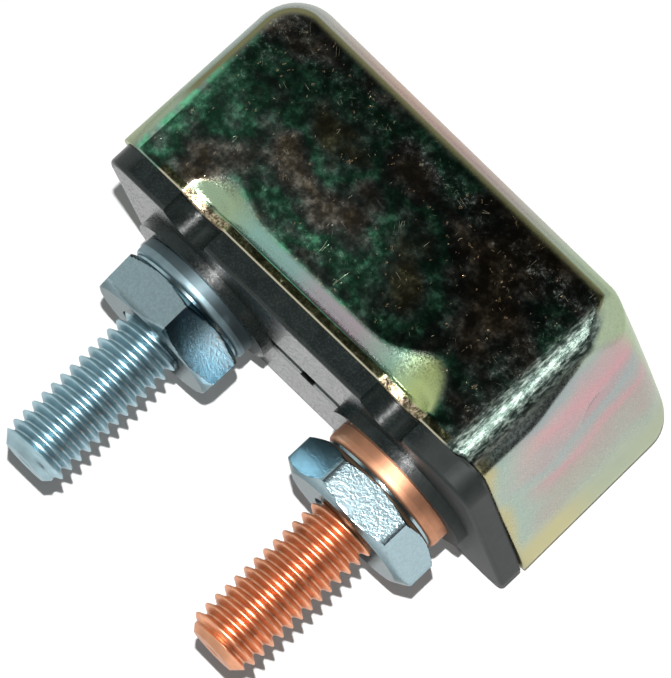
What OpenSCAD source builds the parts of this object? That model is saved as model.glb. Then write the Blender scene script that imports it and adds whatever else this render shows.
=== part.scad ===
// Stud-mount thermal circuit breaker, lying on a wide side.
// X runs from the line stud to the load stud, Y from the stud tips to the cover's top, Z up.
// Heights along Y are counted from the base plate's stud-side face.

/* [Cover] */
// Length of the drawn cover at its lower edge
cover_len = 32.4; // [30:0.1:44]
// Width of the drawn cover, which is the object's thickness as it lies
cover_wid = 18.1; // [15:0.1:26]
// Height of the cover's top above the stud-side face of the base plate
cover_top = 15.9; // [14:0.1:24]
// Thickness of the sheet steel
wall = 0.6; // [0.4:0.1:0.9]
// Radius that blends each wide side into the ends and the top
rim_r = 1.7; // [1.3:0.05:1.75]
// Corner radius of the flat part of a wide side, inside that blend
corner_r = 1.8; // [1.8:0.1:4]

/* [Crimps] */
// Radius of a crimp at the cover's lower edge
crimp_r = 1.9; // [1.4:0.1:2.4]
// Depth of a crimp at the cover's lower edge
crimp_depth = 0.7; // [0.4:0.1:1]
// Length over which a crimp fades up the wall
crimp_rise = 3.2; // [2:0.2:5]
// Depth of the pressed trough between two crimps
trough_depth = 0.2; // [0.1:0.05:0.3]
// Radius of that trough
trough_r = 3.6; // [2.4:0.2:5]
// Height of the plain lip below the trough
lip_h = 0.45; // [0.2:0.05:0.8]

/* [Base] */
// Thickness of the base plate outside the cover
plate_t = 1.6; // [1.2:0.1:3]
// Radius of the base plate's corners in plan
plate_r = 2; // [1:0.2:4]
// Rounding of the plate's stud-side edge
plate_edge = 0.3; // [0.1:0.05:0.6]
// How far the plate's two ends stay inside the cover's outline
end_inset = 0.25; // [0:0.05:0.4]
// How far the plate's long edges stay inside the cover's outline
side_inset = 0.1; // [0:0.05:0.4]
// Radius of the four notches that give a crimping tool its room
notch_r = 1.85; // [1.2:0.05:2.4]
// Height of the plug that enters the cover, above the plate
plug_h = 3.6; // [3:0.2:5]
// Clearance between the plug and the inside of the cover
plug_gap = 0.15; // [0.05:0.05:0.3]
// Diameter of the round boss under each stud
boss_d = 10.95; // [9.6:0.05:13]
// Height of a boss
boss_h = 0.74; // [0.4:0.02:1.2]
// Width of the groove between the bosses
groove_w = 2.3; // [1.6:0.1:3.5]
// Depth of that groove
groove_d = 0.4; // [0.2:0.05:0.8]
// Diameter of the vent hole in the groove
vent_d = 1.25; // [0.8:0.05:1.6]
// Distance of the vent hole from the middle, towards the load stud
vent_x = 0.65; // [-1:0.05:1]

/* [Studs] */
// Distance between the stud axes
stud_gap = 17.5; // [15:0.5:22]
// Outer diameter of the stud thread
thread_d = 4.67; // [4:0.01:5]
// Diameter at the root of the stud thread
root_d = 3.7; // [3.4:0.05:4.1]
// Turns of thread in an inch
turns_per_inch = 32; // [24:4:40]
// Diameter at mid-thread, drawn where the stud is inside a nut or the base
pitch_d = 4.3; // [3.6:0.05:4.5]
// Length of a stud beyond its flange
stud_len = 13.83; // [10:0.5:22]
// Length of the cone at a stud's tip
tip_l = 0.4; // [0.2:0.05:0.8]
// Diameter of a stud's end face
tip_d = 3.6; // [2.6:0.1:3.8]
// Diameter of the dimple in a stud's end face
dimple_d = 1.1; // [0.6:0.1:1.6]
// Depth of that dimple
dimple_h = 0.4; // [0.2:0.1:0.8]
// Diameter of a stud's flange
flange_d = 9.05; // [7:0.05:9.4]
// Thickness of a stud's flange
flange_t = 1.23; // [0.8:0.05:2]
// Chamfer on the flange's nut side
flange_c = 0.29; // [0.1:0.05:0.5]
// Diameter of the rivet head inside the base
head_d = 6.6; // [5.6:0.1:7.4]
// Height of the rivet head
head_h = 1; // [0.6:0.1:1.6]
// Room round a stud's rivet head, to the step of the strap and to the blade rivet
head_gap = 0.3; // [0.2:0.1:0.6]

/* [Nuts] */
// Width of a nut across its flats
nut_af = 9.25; // [8:0.05:9.6]
// Height of a nut's hexagon
nut_h = 2.87; // [2.2:0.05:4]
// Diameter of a nut's washer face
face_d = 8.5; // [7.4:0.1:9]
// Height of a nut's washer face
face_h = 0.2; // [0.1:0.05:0.4]
// Diameter where a nut's corner chamfers begin
chamfer_d = 8.85; // [8:0.05:9.2]
// Angle between a corner chamfer and the nut's face
chamfer_a = 30; // [20:5:40]
// Clearance round the stud in a nut and in the base
bore_gap = 0.04; // [0.02:0.01:0.1]

/* [Blade works] */
// Thickness of the terminal strap and of the bracket
strap_t = 0.8; // [0.5:0.1:1]
// Width of the terminal strap and of the bracket
strap_w = 8; // [7:0.5:9]
// Diameter of a contact button
contact_d = 3.2; // [2.4:0.2:4]
// Height of a contact button
contact_h = 0.7; // [0.4:0.1:1]
// Thickness of the bimetal blade
blade_t = 0.4; // [0.3:0.05:0.6]
// Width of the bimetal blade
blade_w = 6; // [4:0.5:7]
// Diameter of the blade rivet's shank
rivet_d = 1.6; // [1.2:0.1:2]
// Diameter of the blade rivet's heads
rivet_head_d = 3; // [2.4:0.1:3.6]
// Height of the blade rivet's heads
rivet_head_h = 0.5; // [0.3:0.05:0.7]
// Thickness of the insulating paper
liner_t = 0.3; // [0.2:0.05:0.5]
// Clearance round the insulating paper
liner_gap = 0.1; // [0.05:0.05:0.2]

/* [Hidden] */
$fn = 64;
over = 1;

stud_x = stud_gap / 2;
half_wid = cover_wid / 2;
tip_y = -(boss_h + flange_t + stud_len);
shift_y = -(cover_top + tip_y) / 2;

// Side outline of the cover: the centres of its shoulder circles
shoulder_r = corner_r + rim_r;
shoulder_y = cover_top - shoulder_r;
shoulder_x = cover_len / 2 - shoulder_r;

// Plan of the plug, inside the cover
plug_top = plate_t + plug_h;
plug_len = cover_len - 2 * (wall + plug_gap);
plug_wid = cover_wid - 2 * (wall + plug_gap);
plug_r = rim_r - wall;

// Levels of the blade works above the plug
strap_top = plug_top + strap_t;
blade_low = strap_top + head_h + head_gap + rivet_head_h + strap_t;
blade_top = blade_low + blade_t;
pad_top = blade_low - 2 * contact_h;
contact_x = stud_x - head_d / 2 - head_gap - strap_t - contact_d / 2;
flange_face = -(boss_h + flange_t);
nut_face = flange_face - face_h - nut_h;

// Free thread, drawn as plain rings between the tip's cone and the nut
inch = 25.4;
pitch = inch / turns_per_inch;
crest_w = pitch / 8;
run_out = (thread_d - pitch_d) / 2;
thread_low = tip_y + tip_l;
thread_high = nut_face - run_out;
rings = floor((thread_high - thread_low) / pitch);

nut_sides = 6;
nut_corner = nut_af / 2 / cos(180 / nut_sides);

// Puts the model on the floor, with the middle of its box over the origin.
module place() {
    translate([0, shift_y, half_wid]) children();
}

// Turns a shape drawn along +Z so that it runs along +Y, from the height y.
module along_y(y) {
    translate([0, y, 0]) rotate([-90, 0, 0]) children();
}

// Section of the cover's edge, from the shoulder's axis outwards, d inside its surface.
module edge_section(d) {
    r = rim_r - d;
    reach = shoulder_r - d;
    half = half_wid - d;
    translate([0, -half]) square([reach - r, 2 * half]);
    translate([0, -(half - r)]) square([reach, 2 * (half - r)]);
    for (s = [-1, 1]) translate([reach - r, s * (half - r)]) circle(r);
}

// The cover's outer form drawn d inside its surface, from the height low.
module cover_form(d, low) {
    rise = shoulder_y - low;
    translate([-shoulder_x, low, -(half_wid - d)]) cube([2 * shoulder_x, rise, 2 * (half_wid - d)]);
    translate([-shoulder_x, shoulder_y, 0]) rotate([0, 90, 0]) rotate([0, 0, 90])
        linear_extrude(2 * shoulder_x) edge_section(d);
    for (s = [0, 1]) mirror([s, 0, 0]) {
        translate([shoulder_x, shoulder_y, 0]) rotate_extrude(angle = 90) edge_section(d);
        translate([shoulder_x, shoulder_y, 0]) rotate([90, 0, 0]) linear_extrude(rise) edge_section(d);
    }
}

// Four crimps and two troughs pressed into the wide sides, each grown outwards by g.
module presses(g) {
    lip_y = plate_t + lip_h;
    deep = trough_r - trough_depth;
    trough_y = lip_y + sqrt(pow(trough_r, 2) - pow(deep, 2));
    slant = crimp_r / crimp_rise;
    grow = g * sqrt(1 + pow(slant, 2));
    trough_x = stud_x - crimp_r;
    for (s = [-1, 1]) {
        for (x = [-stud_x, stud_x]) translate([x, 0, s * (half_wid + crimp_r - crimp_depth)])
            along_y(plate_t - over)
                cylinder(h = crimp_rise + over + grow / slant, r1 = crimp_r + grow + over * slant, r2 = 0);
        translate([0, trough_y, s * (half_wid + deep)]) rotate([0, 90, 0]) {
            cylinder(h = 2 * trough_x, r = trough_r + g, center = true);
            for (e = [-1, 1]) translate([0, 0, e * trough_x]) sphere(trough_r + g);
        }
    }
}

module cover() {
    color("darkkhaki") place() difference() {
        cover_form(0, plate_t);
        presses(0);
        difference() {
            cover_form(wall, plate_t - over);
            presses(wall);
        }
    }
}

module round_plan(len, wid, r) {
    square([len - 2 * r, wid], center = true);
    square([len, wid - 2 * r], center = true);
    for (sx = [-1, 1], sy = [-1, 1]) translate([sx * (len / 2 - r), sy * (wid / 2 - r)]) circle(r);
}

// Half of the plate's section, with its stud-side edge rounded.
module plate_half(reach) {
    e = plate_edge;
    translate([0, e]) square([reach, plate_t - e]);
    square([reach - e, plate_t]);
    translate([reach - e, e]) circle(e);
}

module plate_run(len, wid) {
    linear_extrude(len, center = true) for (s = [0, 1]) mirror([s, 0]) plate_half(wid / 2);
}

// Plate with rounded corners in plan and a rounded stud-side edge all round.
module plate(len, wid) {
    rotate([0, 90, 0]) plate_run(len - 2 * plate_r, wid);
    plate_run(wid - 2 * plate_r, len);
    for (sx = [-1, 1], sz = [-1, 1])
        translate([sx * (len / 2 - plate_r), 0, sz * (wid / 2 - plate_r)])
            along_y(0) rotate_extrude() plate_half(plate_r);
}

module base() {
    color("dimgray") place() difference() {
        union() {
            plate(cover_len - 2 * end_inset, cover_wid - 2 * side_inset);
            difference() {
                along_y(plate_t) linear_extrude(plug_h) round_plan(plug_len, plug_wid, plug_r);
                presses(wall + plug_gap);
            }
            for (x = [-stud_x, stud_x]) translate([x, 0, 0])
                along_y(-boss_h) cylinder(h = boss_h, d = boss_d);
        }
        for (x = [-stud_x, stud_x]) translate([x, 0, 0]) {
            along_y(-boss_h - over) cylinder(h = plug_top + boss_h + 2 * over, d = pitch_d + 2 * bore_gap);
            for (s = [-1, 1]) translate([0, 0, s * half_wid])
                along_y(-over) cylinder(h = plate_t + over, r = notch_r);
        }
        groove_l = stud_gap - boss_d;
        translate([-groove_l / 2, -over, -groove_w / 2]) cube([groove_l, over + groove_d, groove_w]);
        translate([vent_x, 0, 0]) along_y(-over) cylinder(h = plug_top + 2 * over, d = vent_d);
    }
}

// Outline of one ring of thread from the height y: its crest, then the root beside it.
function ring(y) = [
    [thread_d / 2, y],
    [thread_d / 2, y + crest_w],
    [root_d / 2, y + (crest_w + pitch) / 2]
];

// A stud drawn on the Y axis: free thread, flange, shank and rivet head.
module stud(side) {
    core = pitch_d / 2;
    translate([side * stud_x, 0, 0]) difference() {
        rotate([-90, 0, 0]) rotate_extrude() polygon([
            [0, tip_y], [tip_d / 2, tip_y],
            for (k = [0:rings - 1]) each ring(thread_low + k * pitch),
            [thread_d / 2, thread_low + rings * pitch],
            [thread_d / 2, thread_high], [core, nut_face], [core, flange_face],
            [flange_d / 2 - flange_c, flange_face], [flange_d / 2, flange_face + flange_c],
            [flange_d / 2, -boss_h], [core, -boss_h], [core, strap_top],
            [head_d / 2, strap_top], [head_d / 2, strap_top + head_h / 2],
            [head_d / 2 - head_h / 2, strap_top + head_h], [0, strap_top + head_h]]);
        along_y(tip_y - dimple_h) cylinder(h = 2 * dimple_h, d1 = 2 * dimple_d, d2 = 0);
    }
}

module line_stud() {
    color("lightsteelblue") place() stud(-1);
}

module load_stud() {
    color("peru") place() stud(1);
}

// Hexagon nut with chamfered corners, its washer face against the flange.
module nut(side, turn) {
    rise = (nut_corner - chamfer_d / 2) * tan(chamfer_a);
    translate([side * stud_x, 0, 0]) difference() {
        union() {
            along_y(flange_face - face_h - nut_h / 2) cylinder(h = face_h + nut_h / 2, d = face_d);
            intersection() {
                along_y(nut_face) rotate([0, 0, turn])
                    cylinder(h = nut_h, r = nut_corner, $fn = nut_sides);
                rotate([-90, 0, 0]) rotate_extrude() polygon([
                    [0, nut_face], [chamfer_d / 2, nut_face], [nut_corner, nut_face + rise],
                    [nut_corner, nut_face + nut_h - rise], [chamfer_d / 2, nut_face + nut_h],
                    [0, nut_face + nut_h]]);
            }
        }
        along_y(nut_face - over) cylinder(h = nut_h + face_h + 2 * over, d = pitch_d + 2 * bore_gap);
    }
}

module line_nut() {
    color("silver") place() nut(-1, 0);
}

module load_nut() {
    color("gainsboro") place() nut(1, 180 / nut_sides);
}

// Side outline of the line strap: flat under the rivet, then a step up to the pad.
module line_strap() {
    pad_x = -contact_x;
    step_x = pad_x - contact_d / 2 - strap_t;
    outer_x = -stud_x - strap_w / 2;
    color("goldenrod") place() difference() {
        linear_extrude(strap_w, center = true) polygon([
            [outer_x, plug_top], [step_x + strap_t, plug_top], [step_x + strap_t, pad_top - strap_t],
            [pad_x + contact_d / 2 + strap_t, pad_top - strap_t],
            [pad_x + contact_d / 2 + strap_t, pad_top], [step_x, pad_top],
            [step_x, strap_top], [outer_x, strap_top]]);
        translate([-stud_x, 0, 0]) along_y(plug_top - over)
            cylinder(h = strap_t + 2 * over, d = pitch_d + 2 * bore_gap);
    }
}

module fixed_contact() {
    color("lightgray") place() translate([-contact_x, 0, 0])
        along_y(pad_top) cylinder(h = contact_h, d = contact_d);
}

module moving_contact() {
    color("lightgray") place() translate([-contact_x, 0, 0])
        along_y(pad_top + contact_h) cylinder(h = contact_h, d = contact_d);
}

// Side outline of the load bracket: foot under the rivet, upright, and a shelf for the blade.
module load_bracket() {
    outer_x = stud_x + strap_w / 2 + strap_t / 2;
    foot_x = stud_x - strap_w / 2;
    shelf_x = stud_x - rivet_head_d / 2;
    color("goldenrod") place() difference() {
        linear_extrude(strap_w, center = true) polygon([
            [foot_x, plug_top], [outer_x, plug_top], [outer_x, blade_low], [shelf_x, blade_low],
            [shelf_x, blade_low - strap_t], [outer_x - strap_t, blade_low - strap_t],
            [outer_x - strap_t, strap_top], [foot_x, strap_top]]);
        translate([stud_x, 0, 0]) {
            along_y(plug_top - over) cylinder(h = strap_t + 2 * over, d = pitch_d + 2 * bore_gap);
            along_y(blade_low - strap_t - over) cylinder(h = strap_t + 2 * over, d = rivet_d);
        }
    }
}

module bimetal_blade() {
    root_x = stud_x + blade_w / 2;
    free_x = -contact_x - contact_d / 2;
    color("sienna") place() difference() {
        translate([free_x, blade_low, -blade_w / 2]) cube([root_x - free_x, blade_t, blade_w]);
        translate([stud_x, 0, 0]) along_y(blade_low - over) cylinder(h = blade_t + 2 * over, d = rivet_d);
    }
}

module blade_rivet() {
    color("silver") place() translate([stud_x, 0, 0]) {
        along_y(blade_top) cylinder(h = rivet_head_h, d = rivet_head_d);
        along_y(blade_low - strap_t) cylinder(h = strap_t + blade_t, d = rivet_d);
        along_y(blade_low - strap_t - rivet_head_h) cylinder(h = rivet_head_h, d = rivet_head_d);
    }
}

// Folded paper over the blade works, standing on the plug.
module liner() {
    outer = wall + liner_gap;
    len = 2 * shoulder_x;
    color("tan") place() difference() {
        liner_block(len, outer);
        liner_block(len + 2 * over, outer + liner_t);
    }
}

// Block with the inside of the cover's top corners, d inside its surface.
module liner_block(len, d) {
    r = rim_r - d;
    low = d > wall + liner_gap ? plug_top - over : plug_top;
    translate([-len / 2, 0, 0]) rotate([90, 0, 90]) linear_extrude(len) union() {
        translate([low, -(half_wid - d)]) square([cover_top - d - r - low, cover_wid - 2 * d]);
        translate([low, -(half_wid - d - r)]) square([cover_top - d - low, cover_wid - 2 * d - 2 * r]);
        for (s = [-1, 1]) translate([cover_top - d - r, s * (half_wid - d - r)]) circle(r);
    }
}

cover();
base();
line_stud();
load_stud();
line_nut();
load_nut();
line_strap();
fixed_contact();
load_bracket();
bimetal_blade();
moving_contact();
blade_rivet();
liner();
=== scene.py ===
import math

import bmesh
import bpy
from bpy.props import FloatProperty, FloatVectorProperty, IntProperty, PointerProperty
from mathutils import Euler, Matrix, Vector


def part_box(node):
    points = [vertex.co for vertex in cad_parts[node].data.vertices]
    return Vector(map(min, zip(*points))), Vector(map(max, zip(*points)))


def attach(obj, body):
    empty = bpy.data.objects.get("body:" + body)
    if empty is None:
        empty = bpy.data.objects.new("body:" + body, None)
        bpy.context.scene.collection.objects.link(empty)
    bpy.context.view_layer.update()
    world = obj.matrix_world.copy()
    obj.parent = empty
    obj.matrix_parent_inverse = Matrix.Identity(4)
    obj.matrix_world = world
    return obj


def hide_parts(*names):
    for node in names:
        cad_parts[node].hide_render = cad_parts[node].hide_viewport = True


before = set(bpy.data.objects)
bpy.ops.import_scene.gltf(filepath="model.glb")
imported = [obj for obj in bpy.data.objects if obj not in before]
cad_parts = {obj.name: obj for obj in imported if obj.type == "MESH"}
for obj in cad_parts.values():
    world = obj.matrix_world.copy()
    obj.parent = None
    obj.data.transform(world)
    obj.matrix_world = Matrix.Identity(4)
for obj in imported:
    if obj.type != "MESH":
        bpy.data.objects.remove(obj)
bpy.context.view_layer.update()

bl_info = {
    "name": "Stud-Mount Circuit Breaker",
    "version": (1, 0, 0),
    "blender": (4, 5, 0),
    "location": "View3D > Sidebar > Breaker",
    "description": "Drawn cover, threaded studs, nuts and finishes for a stud-mount circuit breaker",
    "category": "Object",
}

MM = 0.001
FULL_TURN = 2 * math.pi

# The working frame is in millimetres. Its origin lies midway between the studs, on the plate's
# stud-side face and halfway through the width, with Y towards the cover's top. SEAT is where
# that origin lies in the shared frame, in metres.
STUD_TIP_Y = -15.8
STUD_LO, STUD_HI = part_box("line_stud")
COVER_LO, COVER_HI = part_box("cover")
SEAT = Vector((0, STUD_LO.y - STUD_TIP_Y * MM, (COVER_LO.z + COVER_HI.z) / 2))
STUD_X = -(STUD_LO.x + STUD_HI.x) / 2 / MM
HALF_WIDTH = SEAT.z / MM

# Height of the base's round bosses, and the side of the middle on which each stud stands.
BOSS_H = 0.74
LINE_SIDE = -1
LOAD_SIDE = 1

# Height of the band of the wide sides that holds the crimps and the trough.
PRESSED_BAND = 4.8

# Direction in which the thread crests were measured, and the height of one crest of each stud.
CREST_TURN = math.radians(21.6 - 90)
LINE_CREST_Y = -6.49
LOAD_CREST_Y = -6.19


def local_box(cad_node):
    """A node's lowest and highest corners in the working frame, in millimetres."""
    low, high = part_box(cad_node)
    return (low - SEAT) / MM, (high - SEAT) / MM


def colour(name, description, value):
    """A property that holds a colour."""
    return FloatVectorProperty(
        name=name, description=description, default=value, subtype="COLOR", size=3, min=0, max=1
    )


def length(name, description, millimetres):
    """A property that holds a length, given in millimetres."""
    return FloatProperty(
        name=name,
        description=description,
        default=millimetres * MM,
        unit="LENGTH",
        subtype="DISTANCE",
        precision=5,
    )


def angle(name, description, degrees):
    """A property that holds an angle, given in degrees."""
    return FloatProperty(
        name=name,
        description=description,
        default=math.radians(degrees),
        unit="ROTATION",
        subtype="ANGLE",
    )


def fraction(name, description, value):
    """A property that holds a share from 0 to 1."""
    return FloatProperty(
        name=name, description=description, default=value, min=0, max=1, subtype="FACTOR"
    )


class BreakerCover(bpy.types.PropertyGroup):
    """Sizes of the drawn steel cover"""
    rim: length("Rim radius", "Blend between the wide sides and the ends and top", 1.7)
    line_shoulder: length("Line-end shoulder", "Corner radius in side view, at the line stud", 3.1)
    load_shoulder: length("Load-end shoulder", "Corner radius in side view, at the load stud", 2.6)
    line_reach: length("Line-end reach", "Distance of the line end from the middle", 16.2)
    load_reach: length("Load-end reach", "Distance of the load end from the middle", 15.98)
    load_slant: length("Load-end slant", "How much less the load end reaches on the near side", 1.05)
    facet: FloatProperty(
        name="Corner facet", description="Slope of the facet at the load end's upper corner", default=1
    )
    top: length("Top", "Height of the top at the middle of the cover", 15.71)
    top_fall: angle("Top fall", "Slope of the top, down towards the load stud", 1.03)
    line_draft: angle("Line-end draft", "Lean of the line end over its height", 0.7)
    load_draft: angle("Load-end draft", "Lean of the load end over its height", 1.0)
    wall: length("Wall", "Thickness of the sheet", 0.6)
    lip: length("Lip", "Height of the plain lip under the trough", 0.6)
    crimp_depth: length("Crimp depth", "Depth of a crimp at the lower edge", 0.75)
    crimp_radius: length("Crimp radius", "Half width of a crimp at the lower edge", 1.9)
    crimp_rise: length("Crimp rise", "Length over which a crimp fades up the wall", 1.5)
    trough_depth: length("Trough depth", "Depth of the trough above the lip", 0.42)
    trough_floor: length("Trough floor", "Height of the trough's flat floor between the crimps", 0.4)
    trough_height: length("Trough height", "Height of the trough between the crimps", 1.42)
    line_swell: length("Line-end swell", "Added height of the trough over the line crimp", 1.2)
    load_swell: length("Load-end swell", "Added height of the trough over the load crimp", 2.1)
    line_end: length("Trough line end", "Distance of the trough's line end from the middle", 10.9)
    load_end: length("Trough load end", "Distance of the trough's load end from the middle", 11.9)
    end_gap: length("End gap", "Gap between the cover and the plate at the load end", 0.3)


class BreakerStuds(bpy.types.PropertyGroup):
    """Sizes of the two studs"""
    pitch: length("Pitch", "Distance between neighbouring thread crests", 0.79375)
    major: length("Major diameter", "Diameter over the crests", 4.66)
    minor: length("Minor diameter", "Diameter at the thread root", 3.68)
    tip: length("End face", "Diameter of the end face", 3.2)
    tip_length: length("Tip cone", "Length of the cone at the tip", 0.8)
    dimple: length("Dimple", "Diameter of the dimple in the end face", 1.1)
    flange: length("Flange", "Diameter of the flange", 9.05)
    flange_thickness: length("Flange thickness", "Thickness of the flange", 1.23)
    flange_round: length("Flange round", "Rounding on the flange's nut side", 0.29)
    lean: angle("Line stud lean", "How far the line stud leans towards the load stud", 1.1)
    steps: IntProperty(
        name="Steps a turn", description="Mesh steps in one turn of thread", default=48
    )


class BreakerNuts(bpy.types.PropertyGroup):
    """Sizes of the two nuts"""
    flats: length("Across flats", "Width across the flats", 9.25)
    height: length("Height", "Height of the hexagon", 2.87)
    face: length("Washer face", "Diameter of the washer face", 8.5)
    face_height: length("Washer face height", "Height of the washer face", 0.2)
    chamfer: length("Chamfer circle", "Diameter where the corner chamfers begin", 8.85)
    line_turn: angle("Line nut turn", "Direction of a corner of the line nut", 22.9)
    load_turn: angle("Load nut turn", "Direction of a corner of the load nut", 47.8)
    line_taper: length("Line nut taper", "How much its flats draw in towards the tip", 0.08)
    load_taper: length("Load nut taper", "How much its flats draw in towards the tip", -0.1)


class BreakerFinish(bpy.types.PropertyGroup):
    """Colours of the finishes"""
    zinc: colour("Zinc", "Blue-bright zinc plating of the line stud", (0.44, 0.60, 0.66))
    nut_zinc: colour("Nut zinc", "Paler zinc plating of the nuts", (0.37, 0.49, 0.53))
    copper: colour("Copper", "Copper plating of the load stud", (0.86, 0.42, 0.25))
    moulding: colour("Moulding", "Filled black phenolic of the base", (0.011, 0.016, 0.015))
    strap: colour("Strap", "Brass of the inner straps", (0.62, 0.42, 0.16))
    silver: colour("Contact", "Silver of the contact buttons", (0.80, 0.79, 0.76))
    bimetal: colour("Bimetal", "Nickel-iron blade", (0.42, 0.39, 0.35))
    rivet: colour("Rivet", "Plated rivet", (0.66, 0.66, 0.64))
    paper: colour("Paper", "Insulating paper", (0.52, 0.38, 0.20))


class BreakerStage(bpy.types.PropertyGroup):
    """Camera and light"""
    eye: FloatVectorProperty(
        name="Camera",
        description="Camera's place in the working frame",
        default=(0.132216, -0.044805, 0.335399),
        subtype="XYZ",
        unit="LENGTH",
    )
    aim: FloatVectorProperty(
        name="Camera turn",
        description="Camera's rotation",
        default=tuple(math.radians(d) for d in (20.88227, 9.35895, 47.13864)),
        subtype="EULER",
        unit="ROTATION",
    )
    lens: FloatProperty(
        name="Lens", description="Focal length for a 36 mm sensor", default=321.908
    )
    lamp_power: FloatProperty(
        name="Lamp power",
        description="Power of the lamp by the camera",
        default=1.62,
        subtype="POWER",
    )
    lamp_radius: length("Lamp radius", "Radius of the lamp by the camera", 3)
    lamp_rise: angle("Lamp rise", "Angle of the lamp above the camera", 6.2)
    floor_glow: fraction("Floor glow", "Share of the floor's white that stays in shadow", 0.08)
    surround: fraction("Surround", "Brightness of the white surround", 0.8)
    matte_light: fraction("Matte light", "Share of the surround that lights matte surfaces", 0.16)
    dark: fraction("Dark", "Brightness above and on the camera's side", 0.04)


def settings():
    """The breaker's settings in the current scene."""
    return bpy.context.scene.breaker


# Mesh helpers


def finish_mesh(bm, name, finish, cad_node, sharp):
    """Turns a working-frame bmesh into a placed object that stands for a CAD node."""
    bmesh.ops.remove_doubles(bm, verts=bm.verts, dist=0.0005)
    bmesh.ops.recalc_face_normals(bm, faces=bm.faces)
    limit = math.radians(sharp)
    for face in bm.faces:
        face.smooth = True
    for edge in bm.edges:
        edge.smooth = edge.calc_face_angle(0) < limit
    bmesh.ops.scale(bm, vec=(MM, MM, MM), verts=bm.verts)
    bmesh.ops.translate(bm, vec=SEAT, verts=bm.verts)
    mesh = bpy.data.meshes.new(name)
    bm.to_mesh(mesh)
    bm.free()
    mesh.materials.append(finish)
    piece = bpy.data.objects.new(name, mesh)
    bpy.context.scene.collection.objects.link(piece)
    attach(piece, "root")
    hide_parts(cad_node)
    return piece


def chain(bm, points):
    """Vertices at the given points, joined by edges."""
    verts = [bm.verts.new(point) for point in points]
    edges = [bm.edges.new(pair) for pair in zip(verts, verts[1:])]
    return verts + edges


def revolve(bm, points, steps=96):
    """Spins a chain of (radius, height) points round the Y axis."""
    bmesh.ops.spin(
        bm,
        geom=chain(bm, [(r, y, 0) for r, y in points]),
        cent=(0, 0, 0),
        axis=(0, 1, 0),
        angle=FULL_TURN,
        steps=steps,
        use_merge=True,
        use_duplicate=False,
    )


def set_radius(vert, radius):
    """Moves a vertex straight in or out, to a radius round the Y axis."""
    share = radius / math.hypot(vert.co.x, vert.co.z)
    vert.co.x *= share
    vert.co.z *= share


def arc(centre, radius, first, last, steps):
    """Points of an arc, with angles in degrees counted from +radius towards +height."""
    turns = [math.radians(first + (last - first) * k / steps) for k in range(steps + 1)]
    return [(centre[0] + radius * math.cos(a), centre[1] + radius * math.sin(a)) for a in turns]


# Studs


def thread_profile(major, minor, pitch, steps=14):
    """One pitch of a rolled thread, as (radius, distance along it) from root to root."""
    points = []
    for k in range(steps + 1):
        t = k / steps
        flank = min(1, max(0, (1 - abs(2 * t - 1) - 0.16) / 0.74))
        eased = flank * flank * (3 - 2 * flank)
        points.append((minor + (major - minor) * (0.55 * flank + 0.45 * eased), t * pitch))
    return points


def at_height(part, height):
    """Whether all vertices of an edge or a face lie at one height."""
    return all(abs(v.co.y - height) < 0.001 for v in part.verts)


def add_thread(bm, sizes, crest_y, inner_y, tip_y):
    """A right-hand thread from inside the nut to the tip, with its end faces."""
    pitch = sizes.pitch / MM
    major = sizes.major / 2 / MM
    minor = sizes.minor / 2 / MM
    tip = sizes.tip / 2 / MM
    cone = sizes.tip_length / MM
    top_y = crest_y + (math.ceil((inner_y - crest_y) / pitch) + 1.5) * pitch
    turns = math.ceil((top_y - tip_y) / pitch) + 1
    side = Vector((math.sin(CREST_TURN), 0, math.cos(CREST_TURN)))
    profile = [side * r + Vector((0, top_y - y, 0)) for r, y in thread_profile(major, minor, pitch)]
    bmesh.ops.spin(
        bm,
        geom=chain(bm, profile),
        cent=(0, 0, 0),
        axis=(0, -1, 0),
        dvec=(0, -pitch / sizes.steps, 0),
        angle=FULL_TURN,
        steps=sizes.steps,
    )
    first_turn = bm.verts[:] + bm.edges[:] + bm.faces[:]
    for turn in range(1, turns):
        copied = bmesh.ops.duplicate(bm, geom=first_turn)["geom"]
        moved = [v for v in copied if isinstance(v, bmesh.types.BMVert)]
        bmesh.ops.translate(bm, vec=(0, -pitch * turn, 0), verts=moved)
    bmesh.ops.remove_doubles(bm, verts=bm.verts, dist=0.001)
    for v in bm.verts:
        above = max(0, v.co.y - tip_y)
        limit = tip + above * (major - tip) / cone
        radius = min(limit, math.hypot(v.co.x, v.co.z))
        set_radius(v, limit + (radius - limit) * smooth(above, 0.2, 0.75))
    for height, normal in ((tip_y, (0, -1, 0)), (inner_y, (0, 1, 0))):
        bmesh.ops.bisect_plane(
            bm,
            geom=bm.verts[:] + bm.edges[:] + bm.faces[:],
            dist=0.0001,
            plane_co=(0, height, 0),
            plane_no=normal,
            clear_outer=True,
        )
        rim = [e for e in bm.edges if e.is_boundary and at_height(e, height)]
        bmesh.ops.holes_fill(bm, edges=rim, sides=0)
    add_dimple(bm, sizes, tip, tip_y)


def add_dimple(bm, sizes, tip, tip_y):
    """Centre dimple in the tip's end face."""
    radius = sizes.dimple / 2 / MM
    faces = [f for f in bm.faces if at_height(f, tip_y)]
    if len(faces) > 1:
        faces = bmesh.ops.dissolve_faces(bm, faces=faces)["region"]
    bmesh.ops.inset_individual(bm, faces=faces, thickness=0.2, use_even_offset=True)
    for spread_out, depth in ((radius, 0), (radius * 0.55, 0.28)):
        bmesh.ops.inset_individual(bm, faces=faces, thickness=0.2, use_even_offset=True)
        for v in faces[0].verts:
            set_radius(v, spread_out)
            v.co.y = tip_y + depth
    middle = bmesh.ops.poke(bm, faces=faces, center_mode="MEAN")["verts"]
    bmesh.ops.translate(bm, vec=(0, 0.08, 0), verts=middle)


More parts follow.
